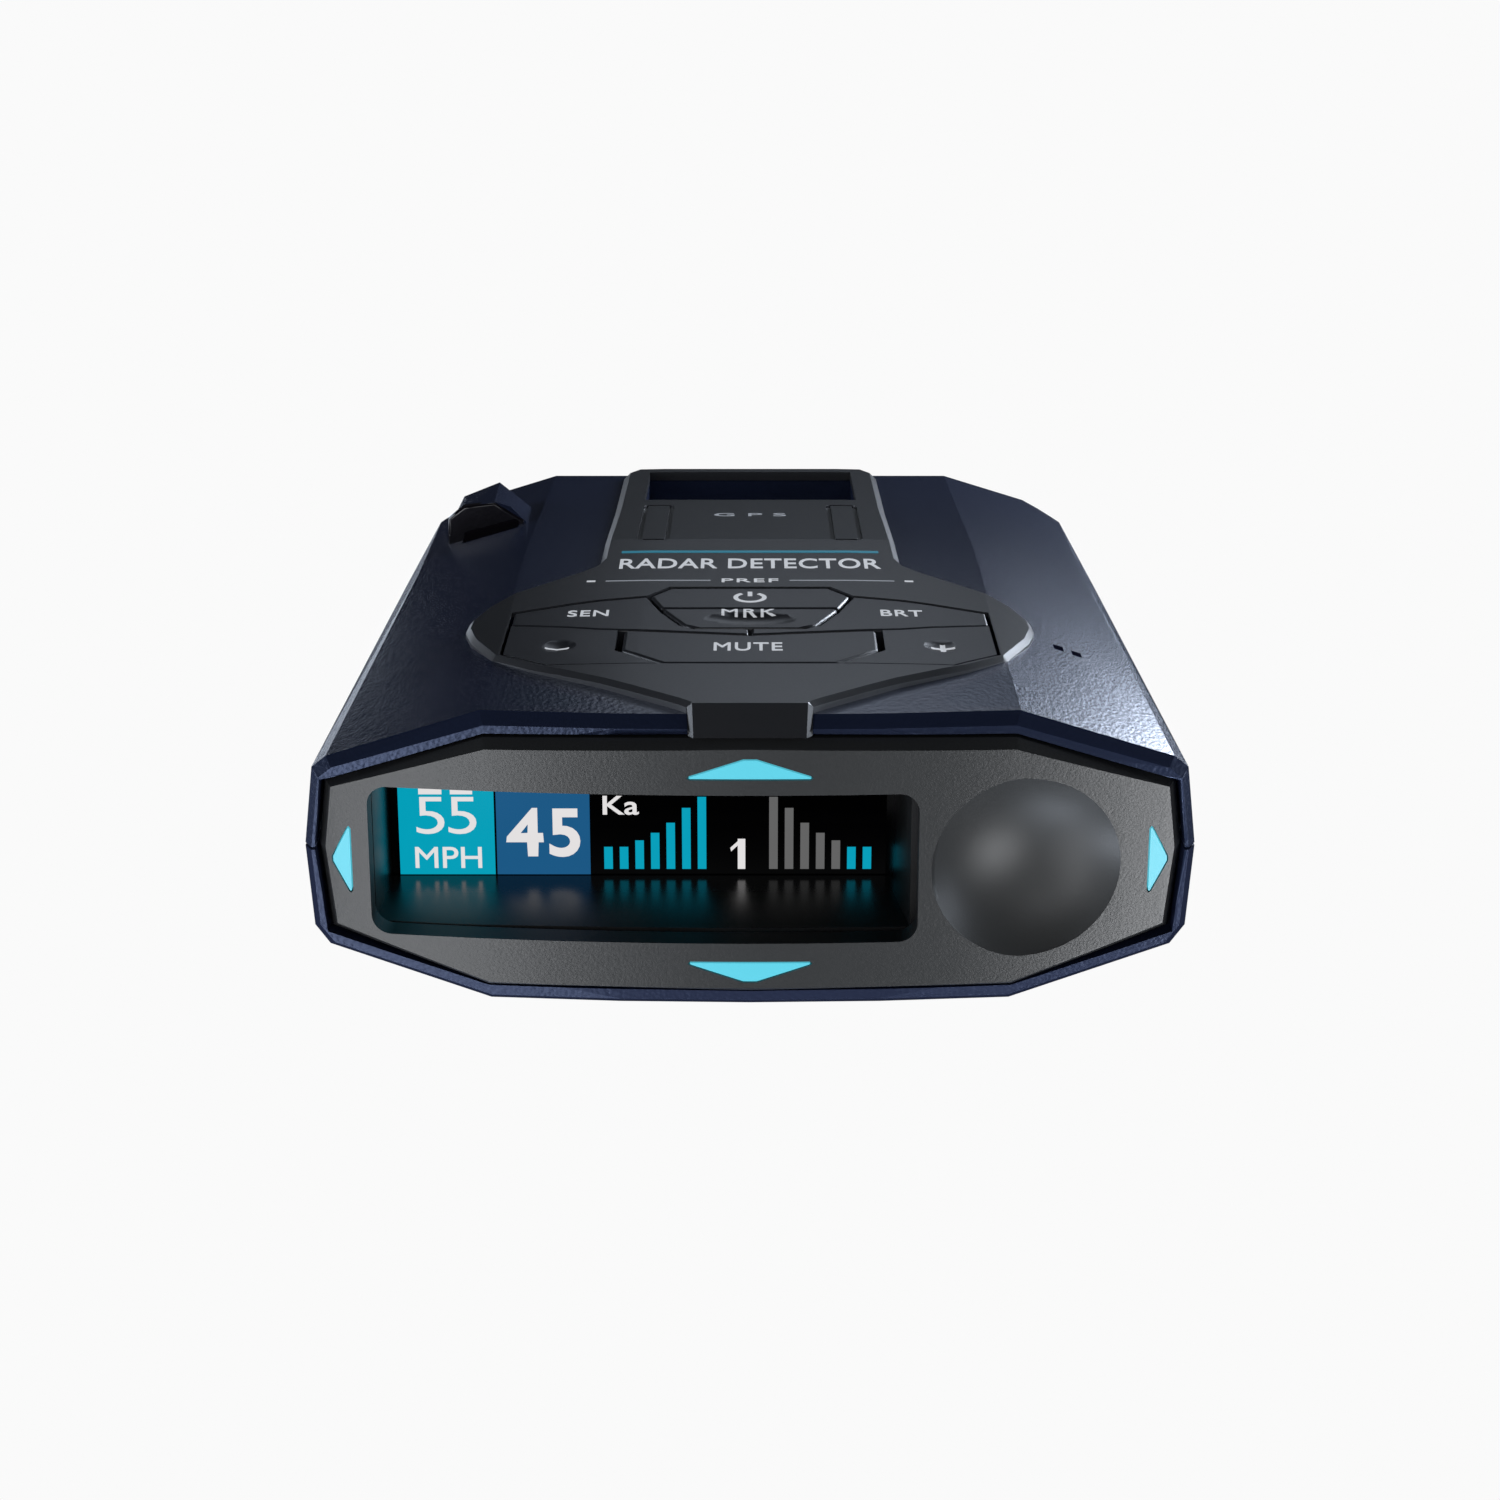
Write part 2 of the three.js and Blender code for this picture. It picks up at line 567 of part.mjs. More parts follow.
function makeUsbPort() {
  return cut(box(33.6, 42.5, usbY - 3.5, usbY + 3.5, jackZ - 2.0, jackZ + 2.0),
    box(35, 50, usbY - 3.0, usbY + 3.0, jackZ - 1.4, jackZ + 1.4));
}

function makeEarphoneJack() {
  return cut(
    join(
      box(31, 41.4, earphoneY - 3.4, earphoneY + 3.4, jackZ - 3.6, jackZ + 3.6),
      rod(2.3, [41, earphoneY, jackZ], [43.2, earphoneY, jackZ]),
    ),
    rod(1.75, [34, earphoneY, jackZ], [50, earphoneY, jackZ], 14),
  );
}

function makeGpsAntenna() {
  return join(
    box(-9, 9, 76.5, 94.5, 22.6, 26.6),
    box(-7.5, 7.5, 78, 93, 26.5, 26.8),
    rod(0.9, [1.5, 86, 26], [1.5, 86, 27.2], 8),
  );
}

function makeMembrane() {
  const pads = [[0, 43.5], [0, 35.4], [0, 23.5], [-19, 37], [19, 37], [-20.8, 25], [20.8, 25]];
  const sheet = box(-28, 28, 16.5, 50, 26.5, 27.1);
  return join(sheet, ...pads.map(([x, y]) => rod(2.2, [x, y, 26.6], [x, y, 27.5], 12)));
}

function makeLabel() {
  const half = label.half - gap;
  return box(-half, half, label.y0 + gap, label.y1 - gap, underZ + 0.15, underZ + 0.35);
}

function makeSensor(x, y0, y1, z, radius) {
  return join(rod(radius, [x, y0, z], [x, y1, z], 18), box(x - 2.8, x + 2.8, y0 - 2, y0 + 1, z - 3, z + 2));
}

// ---------------------------------------------------------------- assembly
const device = new THREE.Group();
device.position.set(0, -length / 2, -underZ);

function place(name, solid, material) {
  const mesh = new THREE.Mesh(toGeometry(solid), material);
  mesh.name = name;
  device.add(mesh);
}

place("top_cover", makeTopCover(), navyCase);
place("bottom_cover", makeBottomCover(), navyUnder);
place("front_bezel", makeBezel(), charcoalBezel);
for (const [side, points] of Object.entries(arrows)) {
  place(`arrow_light_${side}`, makeArrowLight(points), tealLight);
  place(`arrow_led_${side}`, box(...arrowLedBoxes[side]), ledWhite);
}

place("display_hood", makeHood(), blackGloss);
place("display_glass", box(-39.6, 15.4, 20.0, 20.7, 6.2, 23.7).intersect(partRoom), clearGlass);
place("display_panel", box(-39.4, 15.2, 21.0, 22.2, 6.4, 23.5).intersect(partRoom), blackPlastic);
place("display_bracket", makeDisplayBracket(), steel);
place("display_ribbon", join(box(-14, 0, 24.3, 24.6, 3.6, 21.4), box(-14, 0, 24.3, 25.8, 3.6, 4.0)), ceramic);

place("keypad_trim", makeTrim(), charcoalTrim);
place("power_button", makeKey(powerKey), keyPlastic);
place("mark_button", makeKey(markKey, ovalDip(0, 35.1, 5.4, 2.7)), keyPlastic);
place("mute_button", makeKey(muteKey), keyPlastic);
place("brightness_button", makeKey(brightnessKey), keyPlastic);
place("sensitivity_button", makeKey(mirrorOutline(brightnessKey)), keyPlastic);
place("volume_up_button", makeKey(volumeUpKey, volumeDip(1)), keyPlastic);
place("volume_down_button", makeKey(mirrorOutline(volumeUpKey), volumeDip(-1)), keyPlastic);
place("keypad_membrane", makeMembrane(), siliconeGrey);
place("keypad_board", box(-29, 29, 16, 50.5, 24.9, 26.2), greenBoard);
place("light_sensor", box(32.9, 37.1, 32.2, 36.0, 23.6, 25.2), blackPlastic);

place("main_board", makeMainBoard(), greenBoard);
place("radar_shield", shieldCan(-28, -4, 60.2, 84, 4.2), steel);
place("receiver_shield", shieldCan(0, 24, 59, 80, 3.4), steel);
place("processor_chip", box(3, 17, 83, 97, boardTopZ + gap, 6.9), blackPlastic);
place("bluetooth_module", box(-26, -13, 87, 97, boardTopZ + gap, 7.7), steel);
place("rear_horn_antenna", horn(29, 62, [-18, 18, 10.2, 23.6], [-6, 6, 12, 18]), castMetal);
place("front_horn_antenna", horn(130, 101, [-21, 10, 7.2, 20.6], [-12, 1, 9, 17]), castMetal);
place("gps_antenna", makeGpsAntenna(), ceramic);
place("speaker", makeSpeaker(), blackPlastic);
place("mount_magnet_left", box(-13.5, -10.2, 72, 94, 24.9, 27.2), steel);
place("mount_magnet_right", box(10.2, 13.5, 72, 94, 24.9, 27.2), steel);

place("nose_lens", box(-noseWindow.half, noseWindow.half, 133.7, 135.3, noseWindow.z0, noseWindow.z1),
  blackGloss);
place("nose_laser_sensor", makeSensor(15.5, 125, 132, 13.2, 2.6), blackPlastic);
place("rear_laser_window", makePodLens(), blackGloss);
place("rear_laser_sensor", makeSensor(-33.6, 97, 99.6, 26.0, 2.0), blackPlastic);

place("power_jack", makePowerJack(), blackPlastic);
place("usb_port", makeUsbPort(), steel);
place("earphone_jack", makeEarphoneJack(), blackPlastic);
place("rating_label", makeLabel(), paperGrey);

postSpots.forEach(([x, y], i) => {
  place(`case_screw_${i + 1}`, screw(x, y, 4.2, 6.2, 2.5, 1.3, 21.5, true), steel);
});
boardScrewSpots.forEach(([x, y], i) => {
  place(`board_screw_${i + 1}`, screw(x, y, boardTopZ + gap, 6.5, 2.2, 0.6, 1.6, false), steel);
});

const radarDetector = new THREE.Group();
radarDetector.add(device);

export default radarDetector;
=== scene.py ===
# Windscreen radar detector: looks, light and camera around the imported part.
import json
import math

import bmesh
import bpy
from mathutils import Matrix, Vector
from mathutils.bvhtree import BVHTree


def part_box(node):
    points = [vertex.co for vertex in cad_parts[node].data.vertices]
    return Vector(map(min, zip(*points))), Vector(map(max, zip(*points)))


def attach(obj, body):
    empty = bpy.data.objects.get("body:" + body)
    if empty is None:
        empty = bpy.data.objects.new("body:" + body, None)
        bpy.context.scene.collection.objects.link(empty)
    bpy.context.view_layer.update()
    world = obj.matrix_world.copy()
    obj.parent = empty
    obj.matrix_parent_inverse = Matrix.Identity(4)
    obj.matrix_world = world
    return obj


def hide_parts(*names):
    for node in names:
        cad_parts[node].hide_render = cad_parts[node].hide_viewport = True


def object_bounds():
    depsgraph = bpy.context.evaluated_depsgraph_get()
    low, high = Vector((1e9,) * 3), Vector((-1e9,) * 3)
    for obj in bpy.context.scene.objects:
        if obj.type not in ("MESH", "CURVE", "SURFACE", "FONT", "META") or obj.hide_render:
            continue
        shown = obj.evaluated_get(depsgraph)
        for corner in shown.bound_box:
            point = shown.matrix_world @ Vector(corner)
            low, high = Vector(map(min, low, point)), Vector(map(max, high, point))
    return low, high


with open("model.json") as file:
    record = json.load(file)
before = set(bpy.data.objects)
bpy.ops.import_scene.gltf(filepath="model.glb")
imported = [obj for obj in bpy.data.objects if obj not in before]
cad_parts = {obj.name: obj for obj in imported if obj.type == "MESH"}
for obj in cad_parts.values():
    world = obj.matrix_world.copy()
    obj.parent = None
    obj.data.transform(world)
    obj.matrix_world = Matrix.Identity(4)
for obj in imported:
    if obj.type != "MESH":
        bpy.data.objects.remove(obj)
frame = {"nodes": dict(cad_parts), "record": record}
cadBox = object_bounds()
nodes = frame["nodes"]
bodyOf = {node: body for body, names in frame["record"]["behaviour"]["bodies"].items() for node in names}
mm = 0.001

# Heights are counted from the CAD's own zero, a little under the display panel, and depths from the bezel's front.
panelRise = 6.4
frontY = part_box("front_bezel")[0].y
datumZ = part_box("display_panel")[0].z - panelRise * mm
print("frame loaded:", len(nodes), "nodes")


def fromFront(distance):
    return frontY + distance * mm


def fromDatum(height):
    return datumZ + height * mm


def depthOf(point):
    return (point.y - frontY) / mm


def heightOf(point):
    return (point.z - datumZ) / mm


# Wraps a socket, so shader maths is written as an expression.
class Wire:
    def __init__(self, tree, socket=None):
        self.tree = tree
        self.socket = socket

    def add(self, kind, settings=None, inputs=None, output=0):
        node = self.tree.nodes.new(kind)
        for name, value in (settings or {}).items():
            setattr(node, name, value)
        for name, value in (inputs or {}).items():
            if isinstance(value, Wire):
                self.tree.links.new(value.socket, node.inputs[name])
            else:
                node.inputs[name].default_value = value
        return Wire(self.tree, node.outputs[output])

    def maths(self, operation, first, second):
        return self.add("ShaderNodeMath", {"operation": operation}, {0: first, 1: second})

    def __add__(self, other):
        return self.maths("ADD", self, other)

    def __radd__(self, other):
        return self.maths("ADD", other, self)

    def __mul__(self, other):
        return self.maths("MULTIPLY", self, other)

    def __rmul__(self, other):
        return self.maths("MULTIPLY", other, self)


def rgba(colour):
    return (*colour, 1.0)


def mixColours(wire, share, dark, light):
    return wire.add("ShaderNodeMix", {"data_type": "RGBA"}, {0: share, 6: dark, 7: light}, 2)


def newMaterial(name, constants):
    material = bpy.data.materials.new(name)
    material.use_nodes = True
    shader = next(n for n in material.node_tree.nodes if n.type == "BSDF_PRINCIPLED")
    for socket, value in constants.items():
        shader.inputs[socket].default_value = value
    return material, shader, Wire(material.node_tree)


def link(wire, shader, socket):
    wire.tree.links.new(wire.socket, shader.inputs[socket])


def objectPlace(wire):
    return wire.add("ShaderNodeTexCoord", output="Object")


def noiseAt(wire, place, scale, detail, roughness=0.5):
    return wire.add("ShaderNodeTexNoise", None, {
        "Vector": place, "Scale": scale, "Detail": detail, "Roughness": roughness})


def shades(colour, spread):
    return rgba([c * (1 - spread) for c in colour]), rgba([c * (1 + spread) for c in colour])


def linkBump(wire, shader, height, depth):
    bump = wire.add("ShaderNodeBump", None, {"Strength": 1.0, "Distance": depth * mm, "Height": height})
    link(bump, shader, "Normal")


grain = {"roughnessSwing": 0.08, "patchScale": 60.0}


# A finish with grain: noise moves the colour and the roughness a little and drives a bump.
def grained(name, colour, roughness, scale, depth, spread=0.12, constants=None):
    material, shader, start = newMaterial(name, {"Roughness": roughness, **(constants or {})})
    place = objectPlace(start)
    fine = noiseAt(start, place, scale, 3.0, 0.6)
    broad = noiseAt(start, place, grain["patchScale"], 2.0)
    link(mixColours(start, 0.5 * fine + 0.5 * broad, *shades(colour, spread)), shader, "Base Color")
    link(roughness - grain["roughnessSwing"] / 2 + grain["roughnessSwing"] * fine, shader, "Roughness")
    linkBump(start, shader, fine, depth)
    return material


leather = {"stretch": (1, 0.6, 1), "smoothness": 0.6, "fineRatio": 1.7, "cellShare": 0.7, "patchScale": 45.0,
           "spread": 0.15}


# Cell-like leather grain for the moulded case.
def leathery(name, colour, roughness, scale, depth, constants=None):
    material, shader, start = newMaterial(name, {"Roughness": roughness, **(constants or {})})
    place = start.add("ShaderNodeMapping", None, {"Vector": objectPlace(start), "Scale": leather["stretch"]})
    cells = start.add("ShaderNodeTexVoronoi", {"feature": "SMOOTH_F1"}, {
        "Vector": place, "Scale": scale, "Smoothness": leather["smoothness"]})
    fine = noiseAt(start, place, scale * leather["fineRatio"], 3.0)
    broad = noiseAt(start, place, leather["patchScale"], 2.0)
    link(mixColours(start, broad, *shades(colour, leather["spread"])), shader, "Base Color")
    linkBump(start, shader, leather["cellShare"] * cells + (1 - leather["cellShare"]) * fine, depth)
    return material


glow = {"patchScale": 300.0, "patchShade": 0.96}


# A lit finish; body is how much of its colour shows unlit. The arrow lamps and the display really glow, but on the
# printed legends that use it the glow is painted light.
def glowing(name, colour, strength, roughness=0.35, body=0.35, gloss=0.5):
    material, shader, start = newMaterial(name, {
        "Roughness": roughness, "Emission Strength": strength, "Specular IOR Level": gloss})
    patchy = noiseAt(start, objectPlace(start), glow["patchScale"], 1.0)
    dark = rgba([c * glow["patchShade"] for c in colour])
    link(mixColours(start, patchy, dark, rgba(colour)), shader, "Emission Color")
    shader.inputs["Base Color"].default_value = rgba([c * body for c in colour])
    return material


# The tunnel's liner: glossy by the display, and duller towards the window.
def tunnelMaterial():
    finish = {"colour": (0.003, 0.003, 0.0035), "nearDisplay": 0.16, "nearWindow": 0.55, "displayDepth": 19.0,
              "windowDepth": 5.0, "gloss": 0.42, "patchScale": 900.0, "patchShade": 0.8}
    material, shader, start = newMaterial("tunnelGloss", {"Specular IOR Level": finish["gloss"]})
    place = objectPlace(start)
    depth = start.add("ShaderNodeSeparateXYZ", None, {0: place}, 1)
    roughness = start.add("ShaderNodeMapRange", None, {
        "Value": depth, "From Min": fromFront(finish["windowDepth"]), "From Max": fromFront(finish["displayDepth"]),
        "To Min": finish["nearWindow"], "To Max": finish["nearDisplay"]})
    link(roughness, shader, "Roughness")
    fine = noiseAt(start, place, finish["patchScale"], 2.0)
    dark = rgba([c * finish["patchShade"] for c in finish["colour"]])
    link(mixColours(start, fine, dark, rgba(finish["colour"])), shader, "Base Color")
    return material


def boardMaterial():
    finish = {"mask": (0.012, 0.075, 0.03), "track": (0.03, 0.14, 0.06), "trackScale": 420.0, "gap": 0.12,
              "relief": 0.02}
    material, shader, start = newMaterial("boardGreen", {"Roughness": 0.35})
    bricks = start.add("ShaderNodeTexBrick", {"offset": 0.35}, {
        "Vector": objectPlace(start), "Scale": finish["trackScale"], "Mortar Size": finish["gap"],
        "Color1": (0, 0, 0, 1), "Color2": (0.3, 0.3, 0.3, 1), "Mortar": (1, 1, 1, 1)}, "Fac")
    link(mixColours(start, bricks, rgba(finish["mask"]), rgba(finish["track"])), shader, "Base Color")
    linkBump(start, shader, bricks, finish["relief"])
    return material


navyTint = {"Specular Tint": (0.52, 0.64, 1.0, 1.0), "Specular IOR Level": 0.6}
materials = {
    "caseNavy": leathery("caseNavy", (0.012, 0.017, 0.038), 0.26, 2300.0, 0.032, navyTint),
    "caseUnder": leathery("caseUnder", (0.011, 0.015, 0.036), 0.30, 2300.0, 0.032, navyTint),
    "bezelCharcoal": grained("bezelCharcoal", (0.026, 0.027, 0.0275), 0.31, 3200.0, 0.02),
    "trimCharcoal": grained("trimCharcoal", (0.022, 0.023, 0.026), 0.35, 4200.0, 0.006),
    "keyCharcoal": grained("keyCharcoal", (0.022, 0.023, 0.027), 0.35, 4200.0, 0.006),
    "tunnelGloss": tunnelMaterial(),
    "dishCharcoal": grained("dishCharcoal", (0.026, 0.027, 0.0275), 0.46, 3200.0, 0.008),
    "smoked": grained("smoked", (0.006, 0.005, 0.007), 0.08, 900.0, 0.0005),
    "displayCover": grained("displayCover", (0.0006, 0.0006, 0.0008), 0.12, 900.0, 0.0003,
                            constants={"Specular IOR Level": 0.08}),
    "tealLight": glowing("tealLight", (0.10, 0.585, 0.72), 0.72),
    "steel": grained("steel", (0.55, 0.56, 0.58), 0.3, 2500.0, 0.002, 0.06, {"Metallic": 1.0}),
    "nickel": grained("nickel", (0.45, 0.44, 0.42), 0.25, 2500.0, 0.002, 0.06, {"Metallic": 1.0}),
    "castMetal": grained("castMetal", (0.42, 0.43, 0.44), 0.45, 1400.0, 0.03, 0.1, {"Metallic": 1.0}),
    "screwBlack": grained("screwBlack", (0.03, 0.03, 0.032), 0.35, 2500.0, 0.004, 0.1, {"Metallic": 0.8}),
    "flexAmber": grained("flexAmber", (0.42, 0.18, 0.03), 0.35, 1200.0, 0.004),
    "silicone": grained("silicone", (0.07, 0.075, 0.08), 0.7, 1500.0, 0.01),
    "ceramic": grained("ceramic", (0.5, 0.43, 0.30), 0.55, 1500.0, 0.01),
    "blackPlastic": grained("blackPlastic", (0.014, 0.014, 0.016), 0.48, 2200.0, 0.012),
    "labelGrey": grained("labelGrey", (0.33, 0.34, 0.35), 0.6, 2500.0, 0.003, 0.04),
    "ledWhite": grained("ledWhite", (0.8, 0.78, 0.72), 0.35, 1500.0, 0.003, 0.03),
    "boardGreen": boardMaterial(),
    # The printed legends and title bar glow though they are no lamp: their brightness is painted light.
    "legendWhitePaintedGlow": glowing("legendWhitePaintedGlow", (0.50, 0.52, 0.55), 0.85, 0.5),
    "legendGreyPaintedGlow": glowing("legendGreyPaintedGlow", (0.24, 0.26, 0.29), 0.85, 0.5),
    "legendTealPaintedGlow": glowing("legendTealPaintedGlow", (0.008, 0.15, 0.22), 0.85, 0.5),
    "tileTeal": glowing("tileTeal", (0.001, 0.35, 0.49), 1.0, 0.3, 0.02, 0.08),
    "tileBlue": glowing("tileBlue", (0.011, 0.098, 0.235), 1.0, 0.3, 0.02, 0.08),
    "barCyan": glowing("barCyan", (0.002, 0.35, 0.50), 1.0, 0.3, 0.02, 0.08),
    "barGrey": glowing("barGrey", (0.127, 0.127, 0.127), 1.0, 0.3, 0.02, 0.08),
    "textGlow": glowing("textGlow", (0.78, 0.76, 0.76), 1.0, 0.3, 0.02, 0.08),
}
slotMaterials = {
    "case_navy": "caseNavy", "case_under": "caseUnder", "bezel_charcoal": "bezelCharcoal",
    "trim_charcoal": "trimCharcoal", "key_charcoal": "keyCharcoal", "gloss_black": "tunnelGloss",
    "teal_light": "tealLight", "display_cover": "displayCover", "display_cell": "displayCover",
    "bracket_steel": "steel", "flex_amber": "flexAmber", "membrane_silicone": "silicone",
    "circuit_board": "boardGreen", "shield_steel": "steel", "chip_black": "blackPlastic",
    "horn_casting": "castMetal", "antenna_ceramic": "ceramic", "speaker_black": "blackPlastic",
    "magnet_nickel": "nickel", "smoked_lens": "smoked", "connector_black": "blackPlastic",
    "connector_steel": "steel", "screw_black": "screwBlack", "label_grey": "labelGrey",
    "led_white": "ledWhite",
}
slotOf = {entry["node"]: entry["material_slot"] for entry in frame["record"]["subparts"]}
for name, piece in nodes.items():
    piece.data.materials.clear()
    piece.data.materials.append(materials[slotMaterials[slotOf[name]]])
print("materials made:", len(materials))


def finishPiece(bm, name, material, body, slotName, smoothAngle=None, bevels=()):
    mesh = bpy.data.meshes.new(name)
    bm.to_mesh(mesh)
    bm.free()
    piece = bpy.data.objects.new(name, mesh)
    bpy.context.scene.collection.objects.link(piece)
    mesh.materials.append(materials[material])
    for settings in bevels:
        bevel = piece.modifiers.new("bevel", "BEVEL")
        bevel.width = settings["width"] * mm
        bevel.segments = settings["segments"]
        bevel.limit_method = settings.get("limit", "WEIGHT")
        bevel.angle_limit = math.radians(settings.get("angle", 30))
        bevel.use_clamp_overlap = settings.get("clamp", True)
        bevel.miter_outer = "MITER_SHARP"
    if smoothAngle:
        mesh.polygons.foreach_set("use_smooth", [True] * len(mesh.polygons))
        mesh.set_sharp_from_angle(angle=math.radians(smoothAngle))
        weighted = piece.modifiers.new("weighted", "WEIGHTED_NORMAL")
        weighted.keep_sharp = True
        weighted.weight = 100
    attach(piece, body)
    return piece


def mergedCopy(node, flatAngle=0.6):
    bm = bmesh.new()
    bm.from_mesh(nodes[node].data)
    bmesh.ops.remove_doubles(bm, verts=bm.verts, dist=0.002 * mm)
    bmesh.ops.dissolve_limit(bm, angle_limit=math.radians(flatAngle), verts=bm.verts, edges=bm.edges,
                             use_dissolve_boundaries=False)
    return bm


def foldOf(edge):
    return math.degrees(edge.calc_face_angle(0.0)) if edge.is_manifold else 0.0


def roundEdges(bm, edges, width, segments):
    if edges:
        bmesh.ops.bevel(bm, geom=edges, offset=width * mm, offset_type="OFFSET", segments=segments, profile=0.5,
                        affect="EDGES", clamp_overlap=True, material=-1, loop_slide=True)


def middle(edge):
    return (edge.verts[0].co + edge.verts[1].co) / 2


# The hull's long ridges are well rounded, and its front rim only a little.
shell = {"ridge": 1.3, "segments": 4, "rimShare": 0.25, "rimDepth": 6.5, "leastFold": 4.0, "mostFold": 80,
         "flatAngle": 0.1, "smooth": 32, "partingHeight": 15.9, "heartInset": 20, "leastOut": 0.1}


def facesOut(face):
    centre = face.calc_center_median()
    front, rear = (corner.y for corner in cadBox)
    inset = shell["heartInset"] * mm
    heart = Vector((0, max(front + inset, min(rear - inset, centre.y)), fromDatum(shell["partingHeight"])))
    return face.normal.dot(centre - heart) > shell["leastOut"] * mm


def ridgeShare(edge):
    if not edge.is_manifold or not edge.is_convex or not shell["leastFold"] < foldOf(edge) < shell["mostFold"]:
        return 0.0
    if not all(facesOut(face) for face in edge.link_faces):
        return 0.0
    return shell["rimShare"] if max(depthOf(v.co) for v in edge.verts) < shell["rimDepth"] else 1.0


def makeShell(node, name):
    bm = mergedCopy(node, shell["flatAngle"])
    weights = bm.edges.layers.float.new("bevel_weight_edge")
    for edge in bm.edges:
        edge[weights] = ridgeShare(edge)
    piece = finishPiece(bm, name, slotMaterials[slotOf[node]], "case", slotOf[node], shell["smooth"],
                        [{"width": shell["ridge"], "segments": shell["segments"]}])
    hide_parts(node)


makeShell("top_cover", "case_top_shell")
makeShell("bottom_cover", "case_bottom_shell")
print("case shells made")

# A glossy visor covers the front of the sensor pod, a little proud of it.
visor = {"outline": ((-39.3, 25.0), (-39.1, 30.0), (-37.0, 31.6), (-33.0, 32.1), (-29.3, 29.7), (-29.6, 27.2)),
         "front": 89.7, "lean": 0.12, "thick": 1.5, "edge": 0.35, "rimFold": 60, "smooth": 40}


def makeVisor():
    bm = bmesh.new()
    top = max(z for x, z in visor["outline"])
    verts = [bm.verts.new((x * mm, fromFront(visor["front"] + (top - z) * visor["lean"]), fromDatum(z)))
             for x, z in visor["outline"]]
    face = bm.faces.new(verts)
    extruded = bmesh.ops.extrude_face_region(bm, geom=[face])
    moved = [item for item in extruded["geom"] if isinstance(item, bmesh.types.BMVert)]
    bmesh.ops.translate(bm, verts=moved, vec=(0, visor["thick"] * mm, 0))
    bmesh.ops.recalc_face_normals(bm, faces=bm.faces)
    rims = [edge for edge in bm.edges
            if foldOf(edge) > visor["rimFold"] and not any(vert in moved for vert in edge.verts)]
    roundEdges(bm, rims, visor["edge"], 3)
    piece = finishPiece(bm, "rear_window_visor", "smoked", "case", "smoked_lens", visor["smooth"])
    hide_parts("rear_laser_window")


makeVisor()
print("sensor pod visor made")

# The fronts of the bezel and the arrow lights follow one smooth curve.
bezel = {"bow": 0.00204, "folds": (0, 26.8, 43.0, 60), "slices": 64, "halfWidth": 43.5, "skin": 2.4, "flush": 0.2,
         "rim": 0.18, "rimFold": 24, "rimDepth": 2.2, "smooth": 35,
         "windowX": (-39.2, 17.4), "windowZ": (6.6, 23.2), "wallDepth": 0.35, "wallTilt": 0.5,
         "dishX": 29.3, "dishZ": 14.6, "dishRadius": 10.9, "lipRadius": 11.9, "proud": 0.005,
         "wallSlot": 1, "dishSlot": 2}


def bowAt(x):
    return bezel["bow"] * x ** 2


def inDishRound(face, radius):
    return all(math.hypot(v.co.x / mm - bezel["dishX"], heightOf(v.co) - bezel["dishZ"]) < radius for v in face.verts)


# Cuts only the given faces; they keep sharing their edges with the rest.
def sliceFaces(bm, faces, point, normal):
    edges = dict.fromkeys(edge for face in faces for edge in face.edges)
    verts = dict.fromkeys(vert for face in faces for vert in face.verts)
    bmesh.ops.bisect_plane(bm, geom=[*verts, *edges, *faces], dist=1e-7, plane_co=point, plane_no=normal)


def curveFront(bm):
    for step in range(1, bezel["slices"]):
        x = (2 * step / bezel["slices"] - 1) * bezel["halfWidth"] * mm
        faces = [face for face in bm.faces if face.material_index != bezel["dishSlot"]]
        sliceFaces(bm, faces, (x, 0, 0), (1, 0, 0))
    for vert in bm.verts:
        across = abs(vert.co.x) / mm
        behind = depthOf(vert.co) - bowAt(across)
        share = max(0.0, min(1.0, (bezel["skin"] - behind) / (bezel["skin"] - bezel["flush"])))
        inner, outer = next((a, b) for a, b in zip(bezel["folds"], bezel["folds"][1:]) if across <= b)
        if outer < bezel["folds"][-1]:
            vert.co.y += share * bezel["bow"] * (across - inner) * (across - outer) * mm


def isWindowWall(face):
    centre = face.calc_center_median()
    x, z = centre.x / mm, heightOf(centre)
    insideX = bezel["windowX"][0] < x < bezel["windowX"][1]
    insideZ = bezel["windowZ"][0] < z < bezel["windowZ"][1]
    behind = depthOf(centre) - bowAt(x)
    return insideX and insideZ and behind > bezel["wallDepth"] and abs(face.normal.y) < bezel["wallTilt"]


# The dish's backing stands proud of the outer front face, so it is cut off there and the gap is filled flush.
def cutDishLip(bm):
    inner, outer = bezel["folds"][1:3]
    point = Vector((inner * mm, fromFront(bowAt(inner)), 0))
    normal = Vector((-bezel["bow"] * (inner + outer), 1, 0)).normalized()

    def isProud(face):
        centre = face.calc_center_median()
        return centre.x > inner * mm and normal.dot(centre - point) < -bezel["proud"] * mm

    sliceFaces(bm, [face for face in bm.faces if inDishRound(face, bezel["lipRadius"])], point, normal)
    proud = [face for face in bm.faces if inDishRound(face, bezel["lipRadius"]) and isProud(face)]
    bmesh.ops.delete(bm, geom=proud, context="FACES")
    rim = [edge for edge in bm.edges if edge.is_boundary]
    filled = bmesh.ops.holes_fill(bm, edges=rim, sides=0)["faces"]
    bmesh.ops.recalc_face_normals(bm, faces=bm.faces)
    print("dish lip cut:", len(proud), "faces off,", len(filled), "filled")


